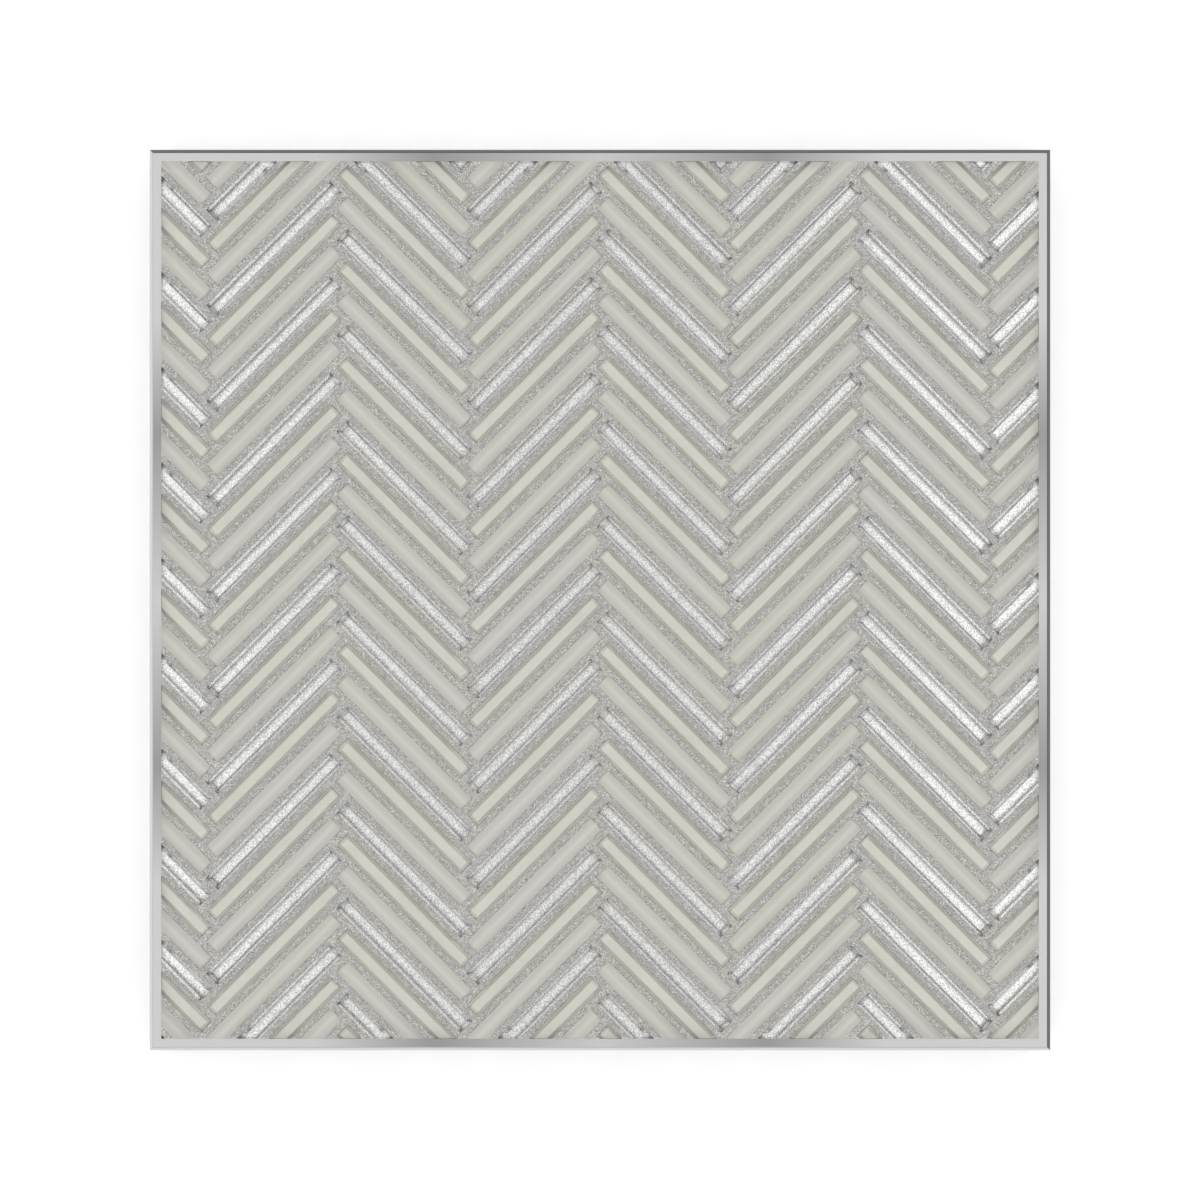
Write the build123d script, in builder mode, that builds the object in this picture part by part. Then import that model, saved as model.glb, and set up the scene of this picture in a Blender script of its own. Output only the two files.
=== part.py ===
"""Framed herringbone mosaic panel: glass strips set in grout on a backing board, edged by a folded metal channel.

The panel lies flat with its face up. The origin is at the middle of its underside, +Y is the top of the face.
"""

import os
from math import ceil, cos, radians

from build123d import *

# Driving dimensions, in millimetres
sheet_size = 305.0  # side of the square mosaic sheet, nominally 12 inches

strip_length = 60.0
strip_width = 5.5
strip_thickness = 8.0
strip_bevel = 1.4  # polished slope along the top edges of a strip, as wide as it is deep
side_joint = 2.2  # grout between the long sides of two strips
end_joint = 2.6  # grout between the end of a strip and the side that it meets
smallest_offcut = 10.0  # square millimetres; a smaller corner of a strip isn't set at the sheet's edge

peak_line = -0.2  # where the middle peak of the zigzag stands, right of the centre line
silver_level = 22.1  # height on the face of a silver strip's middle, in the column left of that peak

grout_recess = 1.4  # how far the grout lies below the strips' faces
bed_thickness = 1.0
board_thickness = 4.0

frame_metal = 1.0
frame_lip = 4.0  # width of the frame's face, over the edge of the mosaic
frame_return = 9.0  # width of the frame's flange under the backing board
fold_radius = 0.2  # inside radius of the folds
edge_clearance = 0.5  # between the sheet's edge and the frame's wall
lip_clearance = 0.2  # between the strips' faces and the underside of the lip

# Levels, from the underside up
board_level = frame_metal
bed_level = board_level + board_thickness
strip_level = bed_level + bed_thickness
face_level = strip_level + strip_thickness
frame_height = face_level + lip_clearance + frame_metal
frame_size = sheet_size + 2 * (edge_clearance + frame_metal)

# Herringbone layout: columns of strips lean right and left by turns, square to each other
lean = 45
slant = cos(radians(lean))
course_pitch = (strip_width + side_joint) / slant
column_pitch = (strip_length + 2 * end_joint - side_joint) * slant
strip_reach = (strip_length + strip_width) / 2 * slant
farthest = sheet_size / 2 + strip_reach
column_count = ceil((farthest + abs(peak_line)) / column_pitch)
course_count = ceil((farthest + abs(silver_level)) / course_pitch)
cut_columns = (-column_count, column_count - 1)  # at the left and right edges of the sheet
finishes = ("silver", "cream", "frosted")  # the order down every column

os.makedirs("parts", exist_ok=True)


def write(piece, name):
    """Labels a finished piece and writes it under its own name."""
    piece.label = name
    export_step(piece, f"parts/{name}.step")
    print(name, len(piece.solids()), "solids", round(piece.volume), "mm3")


def is_set(place):
    """True where enough of the strip at this place lies on the sheet to be worth setting."""
    with BuildSketch() as strip_outline:
        with Locations(place):
            Rectangle(strip_length, strip_width)
    with BuildSketch() as sheet_outline:
        Rectangle(sheet_size, sheet_size)
    shared = sheet_outline.sketch & strip_outline.sketch
    return bool(shared) and sum(face.area for face in shared.faces()) > smallest_offcut


def strip_places():
    """The places of the strips, for each finish, column by column from the left and course by course down."""
    places = {finish: [] for finish in finishes}
    for column in range(-column_count, column_count):
        leans_right = column % 2 == 1
        column_x = peak_line + (column + 0.5) * column_pitch
        start_y = silver_level if leans_right else silver_level + course_pitch / 2
        first_finish = 0 if leans_right else 1
        if column in cut_columns:
            first_finish = 2
        for course in range(-course_count, course_count + 1):
            place = Location((column_x, start_y - course * course_pitch), lean if leans_right else -lean)
            if is_set(place):
                places[finishes[(course + first_finish) % len(finishes)]].append(place)
    return places


# One whole strip, lying along X at the level of its seat
with BuildPart() as strip:
    with BuildSketch(Plane.XY.offset(strip_level)):
        Rectangle(strip_length, strip_width)
    extrude(amount=strip_thickness)
    chamfer(strip.edges().group_by(Axis.Z)[-1], length=strip_bevel)

# The block that the strips are trimmed to at the sheet's edges
with BuildPart() as sheet_block:
    with BuildSketch(Plane.XY.offset(strip_level)):
        Rectangle(sheet_size, sheet_size)
    extrude(amount=strip_thickness)

# Strips, one node for each finish
places_by_finish = strip_places()
for finish, places in places_by_finish.items():
    with BuildPart() as strips:
        with Locations(places):
            add(strip.part)
        add(sheet_block.part, mode=Mode.INTERSECT)
    write(strips.part, f"{finish}_strips")

# Grout in the joints between the strips
with BuildPart() as grout:
    with BuildSketch(Plane.XY.offset(strip_level)):
        Rectangle(sheet_size, sheet_size)
        for places in places_by_finish.values():
            with Locations(places):
                Rectangle(strip_length, strip_width, mode=Mode.SUBTRACT)
    extrude(amount=strip_thickness - grout_recess)
write(grout.part, "grout")

# Adhesive bed that the strips are set in
with BuildPart() as adhesive_bed:
    with BuildSketch(Plane.XY.offset(bed_level)):
        Rectangle(sheet_size, sheet_size)
    extrude(amount=bed_thickness)
write(adhesive_bed.part, "adhesive_bed")

# Backing board, which lies on the frame's flanges
with BuildPart() as backing_board:
    with BuildSketch(Plane.XY.offset(board_level)):
        Rectangle(sheet_size, sheet_size)
    extrude(amount=board_thickness)
write(backing_board.part, "backing_board")

# Frame: four lengths of folded channel, mitred at the corners
for name, turn in {"frame_bottom": 0, "frame_right": 90, "frame_top": 180, "frame_left": 270}.items():
    section_plane = Plane(
        origin=Vector(0, -frame_size / 2, 0).rotate(Axis.Z, turn),
        x_dir=Vector(0, 1, 0).rotate(Axis.Z, turn),
        z_dir=Vector(1, 0, 0).rotate(Axis.Z, turn),
    )
    with BuildPart() as frame_side:
        with BuildSketch(section_plane) as section:
            with BuildLine():
                Polyline(
                    (0, 0),
                    (frame_return, 0),
                    (frame_return, frame_metal),
                    (frame_metal, frame_metal),
                    (frame_metal, frame_height - frame_metal),
                    (frame_lip, frame_height - frame_metal),
                    (frame_lip, frame_height),
                    (0, frame_height),
                    close=True,
                )
            make_face()
            fillet(section.vertices().group_by(Axis.X)[1], radius=fold_radius)
            fillet(section.vertices().group_by(Axis.X)[0], radius=fold_radius + frame_metal)
        extrude(amount=frame_size / 2, both=True)
        for end in (1, -1):
            mitre = Plane(origin=(0, 0, 0), z_dir=Vector(end, 1, 0).rotate(Axis.Z, turn))
            split(bisect_by=mitre, keep=Keep.BOTTOM)
    write(frame_side.part, name)
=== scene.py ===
# %% [markdown]
# # A framed herringbone mosaic panel
# Narrow glass strips in three finishes stand at 45 degrees in zigzag columns, set in pale grout, inside
# a slim metal frame. The solids come from the CAD model and stay where they are. This lesson gives them
# their looks: it models the glass strips again as real glass with something behind it, and finishes the
# grout, the frame and the back. Everything is in metres, with the panel lying face up on the floor.

# %% Load the panel
import math

import bmesh
import bpy
from mathutils import Matrix, Vector


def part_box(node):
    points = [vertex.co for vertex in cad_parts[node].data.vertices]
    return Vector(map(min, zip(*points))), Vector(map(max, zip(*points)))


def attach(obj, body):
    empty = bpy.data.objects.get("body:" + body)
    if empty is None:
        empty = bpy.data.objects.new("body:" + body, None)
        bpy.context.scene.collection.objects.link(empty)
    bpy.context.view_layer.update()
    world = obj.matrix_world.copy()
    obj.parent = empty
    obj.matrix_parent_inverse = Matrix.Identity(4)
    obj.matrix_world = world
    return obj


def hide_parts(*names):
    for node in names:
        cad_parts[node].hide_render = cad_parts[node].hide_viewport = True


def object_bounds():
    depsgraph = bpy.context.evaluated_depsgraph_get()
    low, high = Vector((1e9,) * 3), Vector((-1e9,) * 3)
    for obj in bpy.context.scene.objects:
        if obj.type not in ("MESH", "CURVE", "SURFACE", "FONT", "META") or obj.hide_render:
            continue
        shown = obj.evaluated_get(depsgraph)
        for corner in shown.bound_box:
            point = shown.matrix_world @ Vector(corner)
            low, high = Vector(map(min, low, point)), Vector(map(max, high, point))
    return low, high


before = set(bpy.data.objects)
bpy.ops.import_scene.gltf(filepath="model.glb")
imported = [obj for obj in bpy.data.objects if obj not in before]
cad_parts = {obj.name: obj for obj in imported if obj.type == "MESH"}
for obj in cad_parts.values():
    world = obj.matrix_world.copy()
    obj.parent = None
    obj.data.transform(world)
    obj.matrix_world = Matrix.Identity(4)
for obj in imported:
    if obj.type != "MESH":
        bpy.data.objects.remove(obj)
cad_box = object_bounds()
mm = 0.001
print("Panel size in mm:", [round(side / mm, 1) for side in cad_box[1] - cad_box[0]])

# %% [markdown]
# ## Where the strips lie
# A herringbone is columns of like strips, leaning right and left by turns and square to each other.
# Each strip could be placed by hand, but the pattern has only four sizes, so two loops find every
# place: one over the columns, one down the courses. Down each column the finishes follow each other as
# silver, cream, frosted. In the two columns that the sheet's edges cut, that order starts one strip
# later.

# %% Lay out the herringbone
strip_length = 60.0 * mm
strip_width = 5.5 * mm
side_joint = 2.2 * mm
end_joint = 2.6 * mm
lean = math.radians(45)
course_pitch = (strip_width + side_joint) / math.cos(lean)
column_pitch = (strip_length + 2 * end_joint - side_joint) * math.cos(lean)
peak_line = -0.2 * mm
silver_level = 22.1 * mm
columns = range(-4, 4)
courses = range(-20, 21)
finishes = ("silver", "cream", "frosted")

seat_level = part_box("adhesive_bed")[1].z
face_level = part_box("silver_strips")[1].z
grout_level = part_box("grout")[1].z
sheet_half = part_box("adhesive_bed")[1].x


def strip_places(finish):
    """The middle and the turn of every strip in this finish, also of those that lie off the sheet."""
    places = []
    for column in columns:
        leans_right = column % 2 == 1
        middle_x = peak_line + (column + 0.5) * column_pitch
        start_y = silver_level if leans_right else silver_level + course_pitch / 2
        first_finish = 0 if leans_right else 1
        if column in (columns[0], columns[-1]):
            first_finish = 2
        for course in courses:
            if finishes[(course + first_finish) % len(finishes)] == finish:
                places.append((middle_x, start_y - course * course_pitch, lean if leans_right else -lean))
    return places


print({finish: len(strip_places(finish)) for finish in finishes})

# %% [markdown]
# ## One way to make every strip
# A strip is a bar with its top edges worked: polished to a narrow slope on the clear strips, rounded
# over on the frosted ones. A cube scaled to the bar's size and bevelled along its top edges gives both.
# The bars at the edges of the sheet were cut before they were set, so four plane cuts trim the whole
# sheet and close the cut glass.

# %% Helpers for the strips
def lay_bar(bm, place, size, top, edge_width, edge_height, steps):
    """Adds one bar with worked top edges, its length along the strip at this place."""
    middle_x, middle_y, turn = place
    bar = bmesh.ops.create_cube(bm, size=1)["verts"]
    stretch = edge_width / edge_height
    bmesh.ops.scale(bm, verts=bar, vec=(size[0], size[1], size[2] * stretch))
    rim = {edge for vert in bar for edge in vert.link_edges if all(end.co.z > 0 for end in edge.verts)}
    worked = bmesh.ops.bevel(bm, geom=list(rim), offset=edge_width, offset_type="OFFSET",
                             segments=steps, profile=0.5, affect="EDGES", material=-1)
    bar = list({vert for vert in bar if vert.is_valid} | set(worked["verts"]))
    bmesh.ops.scale(bm, verts=bar, vec=(1, 1, 1 / stretch))
    strip_map = bm.loops.layers.uv.verify()
    for face in {face for vert in bar for face in vert.link_faces}:
        for loop in face.loops:
            loop[strip_map].uv = loop.vert.co.xy
    middle = Matrix.Translation((middle_x, middle_y, top - size[2] / 2))
    bmesh.ops.transform(bm, verts=bar, matrix=middle @ Matrix.Rotation(turn, 4, "Z"))


def trim_to_sheet(bm, half):
    """Cuts away what lies off the sheet, and closes the cut ends."""
    for outwards in (Vector((1, 0, 0)), Vector((-1, 0, 0)), Vector((0, 1, 0)), Vector((0, -1, 0))):
        everything = bm.verts[:] + bm.edges[:] + bm.faces[:]
        cut = bmesh.ops.bisect_plane(bm, geom=everything, plane_co=outwards * half, plane_no=outwards,
                                     clear_outer=True)
        rims = [part for part in cut["geom_cut"] if isinstance(part, bmesh.types.BMEdge)]
        bmesh.ops.holes_fill(bm, edges=rims, sides=0)


def finish_piece(bm, name):
    """Makes the piece from its mesh; it rides on the panel."""
    mesh = bpy.data.meshes.new(name)
    bm.to_mesh(mesh)
    bm.free()
    piece = bpy.data.objects.new(name, mesh)
    bpy.context.scene.collection.objects.link(piece)
    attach(piece, "root")
    print(name, "has", len(mesh.polygons), "faces")
    return piece


bar_height = face_level - seat_level
print("Strips stand", round(bar_height / mm, 1), "mm high")

# %% [markdown]
# ## Helpers for the finishes
# Every finish here is one Principled shader with a few nodes in front of it. The textures read Object
# coordinates, which are metres on the panel, so a scale of 1000 gives grains about a millimetre across.

# %% Helpers for the materials
def new_finish(name, colour, roughness, **sockets):
    """A material with a Principled shader in its mean colour; more sockets go by name, with _ for a space."""
    material = bpy.data.materials.new(name)
    material.use_nodes = True
    shader = material.node_tree.nodes["Principled BSDF"]
    shader.inputs["Base Color"].default_value = (*colour, 1)
    shader.inputs["Roughness"].default_value = roughness
    for socket, value in sockets.items():
        shader.inputs[socket.replace("_", " ")].default_value = value
    return material


def add_node(material, kind, **settings):
    """A new node; a setting with a socket's name fills that socket, any other is the node's own."""
    node = material.node_tree.nodes.new(kind)
    for name, value in settings.items():
        socket = node.inputs.get(name.replace("_", " "))
        if socket:
            socket.default_value = value
        else:
            setattr(node, name, value)
    return node


def join(material, source, target):
    """Links an output to an input."""
    material.node_tree.links.new(source, target)


def shader_of(material):
    """The material's Principled shader."""
    return material.node_tree.nodes["Principled BSDF"]


print("Materials so far:", [material.name for material in bpy.data.materials])


# %% Helpers for the textures
def noise_on_object(material, scale, detail):
    """A noise texture on Object coordinates."""
    place = add_node(material, "ShaderNodeTexCoord")
    noise = add_node(material, "ShaderNodeTexNoise", Scale=scale, Detail=detail)
    join(material, place.outputs["Object"], noise.inputs["Vector"])
    return noise


def colour_from(material, factor, stops):
    """A ramp that turns a factor into colours; each stop is a place and a colour."""
    ramp = add_node(material, "ShaderNodeValToRGB")
    ramp.color_ramp.elements.remove(ramp.color_ramp.elements[1])
    for number, (at, colour) in enumerate(stops):
        stop = ramp.color_ramp.elements[0] if number == 0 else ramp.color_ramp.elements.new(at)
        stop.position = at
        stop.color = (*colour, 1)
    join(material, factor, ramp.inputs["Fac"])
    return ramp.outputs["Color"]


def multiply_colours(material, first, second):
    """The product of two colours, as one layer of tint over another."""
    product = add_node(material, "ShaderNodeVectorMath", operation="MULTIPLY")
    join(material, first, product.inputs[0])
    join(material, second, product.inputs[1])
    return product.outputs["Vector"]


def across_strip(material):
    """How far a point lies from the middle line of its strip: 0 on the line, 1 at the long sides."""
    strip_map = add_node(material, "ShaderNodeUVMap")
    along_across = add_node(material, "ShaderNodeSeparateXYZ")
    off_middle = add_node(material, "ShaderNodeMath", operation="ABSOLUTE")
    share = add_node(material, "ShaderNodeMath", operation="DIVIDE")
    share.inputs[1].default_value = strip_width / 2
    join(material, strip_map.outputs["UV"], along_across.inputs["Vector"])
    join(material, along_across.outputs["Y"], off_middle.inputs[0])
    join(material, off_middle.outputs[0], share.inputs[0])
    return share.outputs[0]


def add_bump(material, height, strength, distance):
    """Raises the surface where the height is high, by up to this distance."""
    bump = add_node(material, "ShaderNodeBump", Strength=strength, Distance=distance)
    join(material, height, bump.inputs["Height"])
    join(material, bump.outputs["Normal"], shader_of(material).inputs["Normal"])


print("Finishes read Object coordinates in metres")

# %% [markdown]
# ## Silver strips
# A silver strip is clear glass with crackled silver foil on its back. Paint on an opaque bar would give
# a flat grey, but here the depth is the look: thin dark lines run where the polished slopes begin, and
# the corners go dark. So the bar is real glass, a hair narrower than its pocket in the grout, and the
# foil is a thin sheet near the bar's back, held short of the sides. Clear glass under the frame's lip
# would only show as a dark end, so it stops at the lip's edge.

# %% Model the silver strips
pocket_gap = 0.06 * mm
edge_slope = 1.2 * mm
slope_steps = 1
foil_margin = 0.2 * mm
foil_lift = 0.1 * mm
foil_thickness = 0.02 * mm
foil_edge = foil_thickness / 4
frame_half = cad_box[1].x
frame_lip = 4.0 * mm
opening_half = frame_half - frame_lip


def clear_bars(finish):
    """The clear glass bars of a finish, which stand for its strips."""
    bm = bmesh.new()
    size = (strip_length - 2 * pocket_gap, strip_width - 2 * pocket_gap, bar_height)
    for place in strip_places(finish):
        lay_bar(bm, place, size, face_level, edge_slope, edge_slope, slope_steps)
    trim_to_sheet(bm, opening_half)
    piece = finish_piece(bm, f"{finish}_glass")
    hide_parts(f"{finish}_strips")
    return piece


def backing(name, finish, margin, depth, thickness, edge):
    """The layer behind the clear glass of a finish, with its face this deep below the strips' faces."""
    bm = bmesh.new()
    size = (strip_length - 2 * margin, strip_width - 2 * margin, thickness)
    for place in strip_places(finish):
        lay_bar(bm, place, size, face_level - depth, edge, edge, slope_steps)
    trim_to_sheet(bm, opening_half - pocket_gap)
    return finish_piece(bm, name)


silver_glass = clear_bars("silver")
silver_foil = backing("silver_foil", "silver", foil_margin, bar_height - foil_lift, foil_thickness, foil_edge)

# %% Finish the clear glass
glass_index = 1.6
clear_glass = new_finish("clear glass", (1, 1, 1), 0.0, IOR=glass_index, Transmission_Weight=1.0)
silver_glass.data.materials.append(clear_glass)
print("Clear glass with an index of", glass_index)

# %% Finish the foil
foil_roughness = 0.22
crackle = 2600
crackle_tilt = 0.02
crackle_bend = 0.4 * mm
flake_middle = 0.5
foil = new_finish("crackled foil", (0.86, 0.86, 0.83), foil_roughness, Metallic=1.0)
place = add_node(foil, "ShaderNodeTexCoord")
bend = add_node(foil, "ShaderNodeTexNoise", Scale=crackle / 2, Detail=2.0)
bent_place = add_node(foil, "ShaderNodeVectorMath", operation="MULTIPLY_ADD")
bent_place.inputs[1].default_value = (crackle_bend, crackle_bend, 0)
flakes = add_node(foil, "ShaderNodeTexVoronoi", Scale=crackle)
level = add_node(foil, "ShaderNodeVectorMath", operation="SUBTRACT")
level.inputs[1].default_value = (flake_middle, flake_middle, flake_middle)
flat = add_node(foil, "ShaderNodeNewGeometry")
tilt = add_node(foil, "ShaderNodeVectorMath", operation="MULTIPLY_ADD")
tilt.inputs[1].default_value = (crackle_tilt, crackle_tilt, 0)
normal = add_node(foil, "ShaderNodeVectorMath", operation="NORMALIZE")
join(foil, place.outputs["Object"], bend.inputs["Vector"])
join(foil, bend.outputs["Color"], bent_place.inputs[0])
join(foil, place.outputs["Object"], bent_place.inputs[2])
join(foil, bent_place.outputs["Vector"], flakes.inputs["Vector"])
join(foil, flakes.outputs["Color"], level.inputs[0])
join(foil, level.outputs["Vector"], tilt.inputs[0])
join(foil, flat.outputs["Normal"], tilt.inputs[2])
join(foil, tilt.outputs["Vector"], normal.inputs[0])
join(foil, normal.outputs["Vector"], shader_of(foil).inputs["Normal"])
flake_tones = [(0.25, (0.66, 0.66, 0.65)), (0.5, (0.86, 0.86, 0.84)), (0.75, (1.0, 1.0, 0.98))]
join(foil, colour_from(foil, flakes.outputs["Color"], flake_tones), shader_of(foil).inputs["Base Color"])
silver_foil.data.materials.append(foil)
print("Foil flakes are about", round(1 / crackle / mm, 2), "mm across")

# %% [markdown]
# ## Cream strips
# A cream strip is opaque cream glass under a clear skin. A coat on an opaque bar could pass for the
# skin, but it would miss the depth at the edges. So the cream is a bar of its own inside a clear one,
# close under the face, where it catches the full light. Its edges slope away. Its colour carries painted
# shading across the strip, placed by the strip's own map: a soft painted shade line along both long sides,
# a painted highlight on the rim outside it, and a middle a little darker than that rim.

# %% Model the cream strips
cream_skin = 0.5 * mm
cream_margin = 0.1 * mm
cream_edge = 1.2 * mm
cream_glass = clear_bars("cream")
cream_core = backing("cream_core", "cream", cream_margin, cream_skin, bar_height - cream_skin - foil_lift,
                     cream_edge)

# %% Finish the cream strips
skin_index = 1.4
clear_skin = new_finish("clear skin", (1, 1, 1), 0.0, IOR=skin_index, Transmission_Weight=1.0)
cream_glass.data.materials.append(clear_skin)

cream_roughness = 0.5
cloud_scale, cloud_detail = 60, 3.0
cream = new_finish("cream glass", (0.90, 0.88, 0.80), cream_roughness)
clouds = noise_on_object(cream, cloud_scale, cloud_detail)
cream_tones = [(0.3, (0.89, 0.87, 0.78)), (0.7, (0.93, 0.91, 0.82))]
# Painted shading across the strip: middle a little darker, painted shade line along the long sides, painted
# highlight on the rim.
cream_painted_shading = [(0.44, (0.87, 0.87, 0.87)), (0.54, (0.71, 0.71, 0.71)), (0.65, (0.63, 0.63, 0.63)),
                (0.76, (0.64, 0.64, 0.64)), (0.87, (0.93, 0.93, 0.93)), (0.95, (1, 1, 1))]
cream_paint = multiply_colours(cream, colour_from(cream, clouds.outputs["Fac"], cream_tones),
                               colour_from(cream, across_strip(cream), cream_painted_shading))
join(cream, cream_paint, shader_of(cream).inputs["Base Color"])
cream_core.data.materials.append(cream)
print("Cream under a clear skin of", round(cream_skin / mm, 1), "mm")

# %% [markdown]
# ## Frosted strips
# A frosted strip has a ground face and softly rounded edges, so it shows no lines, only a slow change
# of tone down to the grout. Rough glass over a backing would be slow to render and look the same, so
# the bar is opaque and rounded over in a few steps, down to the level of the grout. Part of that change
# is the rounding; the rest is painted shade in the colour, darkest between the middle line and the sides.
# Over the sheet its tint drifts between cream and lilac.

# %% Model the frosted strips
frosted_round = 2.4 * mm
frosted_drop = face_level - grout_level
frosted_steps = 4

bm = bmesh.new()
for place in strip_places("frosted"):
    size = (strip_length, strip_width, bar_height)
    lay_bar(bm, place, size, face_level, frosted_round, frosted_drop, frosted_steps)
trim_to_sheet(bm, sheet_half)
for face in bm.faces:
    face.smooth = True
frosted_glass = finish_piece(bm, "frosted_glass")
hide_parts("frosted_strips")

# %% Finish the frosted strips
frosted_roughness = 0.5
ground_scale, ground_detail = 4000, 2.0
ground_strength, ground_height = 0.15, 0.1 * mm
drift_scale, drift_detail = 25, 1.0
frosted = new_finish("frosted glass", (0.55, 0.53, 0.48), frosted_roughness)
ground = noise_on_object(frosted, ground_scale, ground_detail)
drift = noise_on_object(frosted, drift_scale, drift_detail)
# Painted shade across the strip: lighter on the middle line and at the sides, darkest between them.
frosted_painted_shade = [(0.0, (0.51, 0.50, 0.47)), (0.45, (0.455, 0.445, 0.42)), (0.7, (0.44, 0.43, 0.41)),
                  (1.0, (0.51, 0.495, 0.475))]
frosted_tints = [(0.4, (1.0, 0.975, 0.965)), (0.6, (0.985, 0.985, 0.93))]
frosted_paint = multiply_colours(frosted, colour_from(frosted, across_strip(frosted), frosted_painted_shade),
                                 colour_from(frosted, drift.outputs["Fac"], frosted_tints))
join(frosted, frosted_paint, shader_of(frosted).inputs["Base Color"])
add_bump(frosted, ground.outputs["Fac"], ground_strength, ground_height)
frosted_glass.data.materials.append(frosted)
print("Frosted glass with", len(frosted_painted_shade), "shades from the middle line to the sides")

# %% [markdown]
# ## Grout, bed and board
# Grout is cement with fine sand, so it is matt and grainy, with darker and lilac grains among the pale
# ones. One fine noise moves the colour and lifts the grains. The adhesive bed under the strips is dark
# where one looks past the foil, and the board at the back is plain grey cement board.

# %% Finish the grout, the bed and the board
def dress(node, material):
    """Gives a CAD node its finish."""
    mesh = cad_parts[node].data
    mesh.materials.clear()
    mesh.materials.append(material)


matt = 0.9
grain_height = 0.3 * mm

sand_scale, sand_detail, sand_strength = 2200, 3.0, 0.6
grout = new_finish("sanded grout", (0.45, 0.44, 0.41), matt)
sand = noise_on_object(grout, sand_scale, sand_detail)
grains = [(0.30, (0.20, 0.195, 0.20)), (0.44, (0.37, 0.36, 0.35)), (0.56, (0.46, 0.448, 0.42)),
          (0.70, (0.80, 0.79, 0.75))]
join(grout, colour_from(grout, sand.outputs["Fac"], grains), shader_of(grout).inputs["Base Color"])
add_bump(grout, sand.outputs["Fac"], sand_strength, grain_height)
dress("grout", grout)

lump_scale, lump_detail, lump_strength = 800, 2.0, 0.5
adhesive = new_finish("tile adhesive", (0.05, 0.05, 0.045), matt)
lumps = noise_on_object(adhesive, lump_scale, lump_detail)
add_bump(adhesive, lumps.outputs["Fac"], lump_strength, grain_height)
dress("adhesive_bed", adhesive)

fibre_scale, fibre_detail, fibre_strength = 350, 6.0, 0.4
board = new_finish("cement board", (0.42, 0.41, 0.39), matt)
fibres = noise_on_object(board, fibre_scale, fibre_detail)
board_tones = [(0.35, (0.34, 0.33, 0.31)), (0.65, (0.47, 0.46, 0.44))]
join(board, colour_from(board, fibres.outputs["Fac"], board_tones), shader_of(board).inputs["Base Color"])
add_bump(board, fibres.outputs["Fac"], fibre_strength, grain_height)
dress("backing_board", board)
print("Dressed the grout, the bed and the board")

# %% [markdown]
# ## Frame
# The frame is satin metal, and a painted reflection in its colour drifts from light to dark and back twice
# along each side. That drift could come from the light, but then all four sides couldn't show it alike, so
# it is painted into the metal's colour: a ramp on the distance from the middle of the side. The outer fold
# carries painted shade along the top and the right and a painted highlight along the left and the bottom.
# Light from low down would draw a shadow inside the lip that the photograph doesn't have, so the sides of
# the frame let the light pass to the strips beside them.

# %% Finish the frame
# Painted reflection along each side: light in the middle, dark a third of the way out, light again to the
# corners.
satin_painted_reflection = [(0.0, (0.53, 0.53, 0.53)), (0.37, (0.28, 0.28, 0.28)), (0.63, (0.54, 0.54, 0.54)),
               (1.0, (0.54, 0.54, 0.54))]
fold_width = 1.2 * mm
# Painted shade for the folds along the top and the right, painted highlight for those along the left and the
# bottom.
fold_painted_shade = 0.10
fold_painted_highlight = 0.50
satin_roughness = 0.35
satin_metallic = 0.4
mix_factor, mix_first, mix_second, mix_result = 0, 6, 7, 2  # a Mix node's sockets for colours, by number


def satin_metal(node, along, across, fold_painted_light):
    """Satin metal for one side of the frame, with a painted reflection along it and this painted light on its
    outer fold.
    """
    metal = new_finish(f"satin metal {node}", (0.6, 0.6, 0.6), satin_roughness, Metallic=satin_metallic)
    place = add_node(metal, "ShaderNodeTexCoord")
    parts = add_node(metal, "ShaderNodeSeparateXYZ")
    away = add_node(metal, "ShaderNodeMath", operation="ABSOLUTE")
    share = add_node(metal, "ShaderNodeMath", operation="DIVIDE")
    share.inputs[1].default_value = frame_half
    join(metal, place.outputs["Object"], parts.inputs["Vector"])
    join(metal, parts.outputs[along], away.inputs[0])
    join(metal, away.outputs[0], share.inputs[0])
    outwards = add_node(metal, "ShaderNodeMath", operation="ABSOLUTE")
    on_fold = add_node(metal, "ShaderNodeMath", operation="GREATER_THAN")
    on_fold.inputs[1].default_value = frame_half - fold_width
    # Puts the fold's painted light over the painted reflection along the side.
    painted_light_mix = add_node(metal, "ShaderNodeMix", data_type="RGBA")
    painted_light_mix.inputs[mix_second].default_value = (fold_painted_light, fold_painted_light, fold_painted_light, 1)
    join(metal, parts.outputs[across], outwards.inputs[0])
    join(metal, outwards.outputs[0], on_fold.inputs[0])
    join(metal, on_fold.outputs[0], painted_light_mix.inputs[mix_factor])
    join(metal, colour_from(metal, share.outputs[0], satin_painted_reflection), painted_light_mix.inputs[mix_first])
    join(metal, painted_light_mix.outputs[mix_result], shader_of(metal).inputs["Base Color"])
    return metal


# Top and right folds get painted shade, bottom and left folds get a painted highlight.
frame_sides = (
    ("frame_top", "X", "Y", fold_painted_shade),
    ("frame_right", "Y", "X", fold_painted_shade),
    ("frame_bottom", "X", "Y", fold_painted_highlight),
    ("frame_left", "Y", "X", fold_painted_highlight),
)
for node, along, across, fold_painted_light in frame_sides:
    dress(node, satin_metal(node, along, across, fold_painted_light))
    frame_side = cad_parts[node]
    frame_side.visible_diffuse = False
    frame_side.visible_shadow = False
print("Dressed the four sides of the frame")

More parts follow.
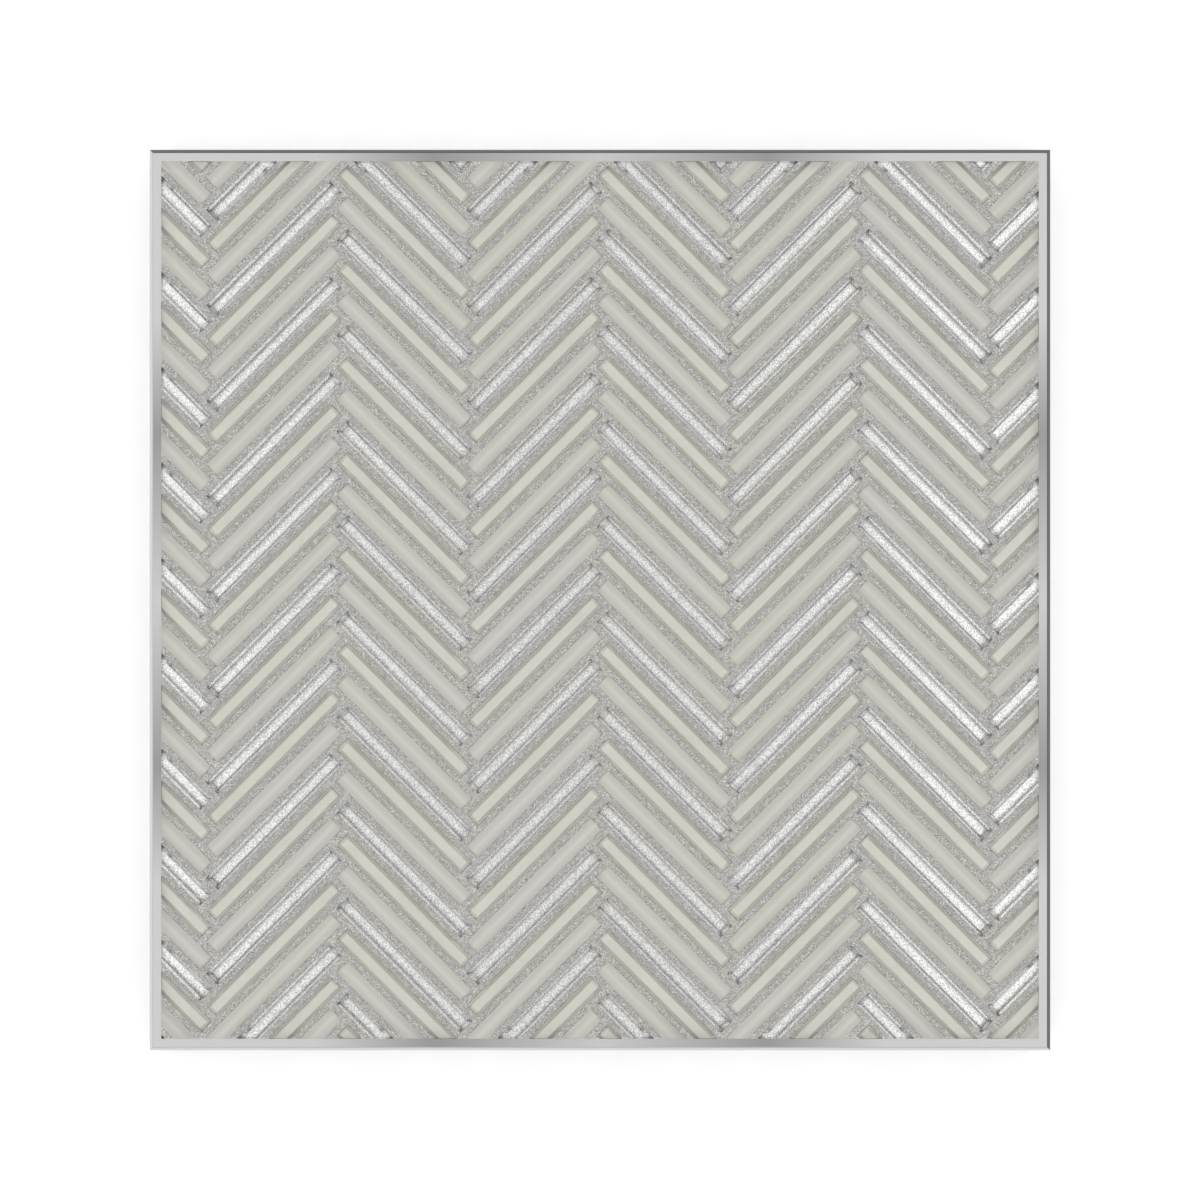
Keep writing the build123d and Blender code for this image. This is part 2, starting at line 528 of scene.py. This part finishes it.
# %% [markdown]
# ## Floor and light
# The panel lies on a white floor. A bright floor could be lit to white, but that would wash out the
# panel, so the floor glows a little wherever it is seen, straight or in a reflection, and still takes
# the panel's shadow. Glass and foil show what stands around them, so the surround has three bands: a
# wide bright one low down, which lights the panel, a dark ring above it, which draws the dark lines in
# the silver strips, and a grey top, which the foil mirrors. Two large soft lamps left and right
# brighten the foil in the outer columns.

# %% Lay the floor
floor_half = 3
bm = bmesh.new()
bmesh.ops.create_grid(bm, x_segments=1, y_segments=1, size=floor_half)
floor_mesh = bpy.data.meshes.new("floor")
bm.to_mesh(floor_mesh)
bm.free()
floor = bpy.data.objects.new("floor", floor_mesh)
bpy.context.scene.collection.objects.link(floor)

floor_tone = 0.85
floor_glow = 0.2
paper = new_finish("white floor", (floor_tone, floor_tone, floor_tone), matt, Emission_Color=(1, 1, 1, 1))
seen = add_node(paper, "ShaderNodeLightPath")
glow = add_node(paper, "ShaderNodeMath", operation="MULTIPLY")
glow.inputs[1].default_value = floor_glow
seen_at_all = seen.outputs["Is Camera Ray"]
for other_ray in ("Is Glossy Ray", "Is Transmission Ray"):
    either = add_node(paper, "ShaderNodeMath", operation="MAXIMUM")
    join(paper, seen_at_all, either.inputs[0])
    join(paper, seen.outputs[other_ray], either.inputs[1])
    seen_at_all = either.outputs[0]
join(paper, seen_at_all, glow.inputs[0])
join(paper, glow.outputs[0], shader_of(paper).inputs["Emission Strength"])
floor.data.materials.append(paper)
print("Floor of", 2 * floor_half, "m")

# %% Light the panel
low_light = 0.75
ring_light = 0.02
top_light = 0.36
sky_strength = 2.29
sky_bands = [(0.0, low_light), (0.68, low_light), (0.76, ring_light), (0.90, ring_light), (0.95, top_light)]
surround = bpy.data.worlds.new("surround")
surround.use_nodes = True
sky = surround.node_tree.nodes["Background"]
sky.inputs["Strength"].default_value = sky_strength
look = add_node(surround, "ShaderNodeTexCoord")
rise = add_node(surround, "ShaderNodeSeparateXYZ")
sky_stops = [(at, (light, light, light)) for at, light in sky_bands]
join(surround, look.outputs["Generated"], rise.inputs["Vector"])
join(surround, colour_from(surround, rise.outputs["Z"], sky_stops), sky.inputs["Color"])
bpy.context.scene.world = surround
print("Surround with", len(sky_bands), "stops")

# %% Hang two lamps
lamp_height = 0.9
lamp_width, lamp_length = 0.7, 1.2
for name, side, inner, power in (("lamp_left", -1, 0.19, 1.5), ("lamp_right", 1, 0.14, 1.4)):
    lamp_data = bpy.data.lights.new(name, "AREA")
    lamp_data.shape = "RECTANGLE"
    lamp_data.size, lamp_data.size_y = lamp_width, lamp_length
    lamp_data.energy = power
    lamp = bpy.data.objects.new(name, lamp_data)
    lamp.location = (side * (inner + lamp_width / 2), 0, lamp_height)
    lamp.visible_camera = False
    bpy.context.scene.collection.objects.link(lamp)
print("Lamps hang at", lamp_height, "m")

# %% [markdown]
# ## Camera
# The photograph looks straight down at the middle of the face, with the panel filling three quarters of
# the square picture. The strips at its edges look as square-on as those in the middle, so the camera
# stands well away. The lens follows from the distance and the share of the picture.

# %% Set the camera
image_pixels = 1200
panel_pixels = 901
camera_distance = 2.5
sensor_width = 36.0
panel_width = cad_box[1].x - cad_box[0].x

camera_data = bpy.data.cameras.new("camera")
camera_data.sensor_width = sensor_width
camera_data.lens = sensor_width * camera_distance / (panel_width * image_pixels / panel_pixels)
camera = bpy.data.objects.new("camera", camera_data)
camera.location = (0, 0, cad_box[1].z + camera_distance)
bpy.context.scene.collection.objects.link(camera)
bpy.context.scene.camera = camera
bpy.context.scene.view_settings.view_transform = "Standard"
print("Lens of", round(camera_data.lens, 1), "mm")
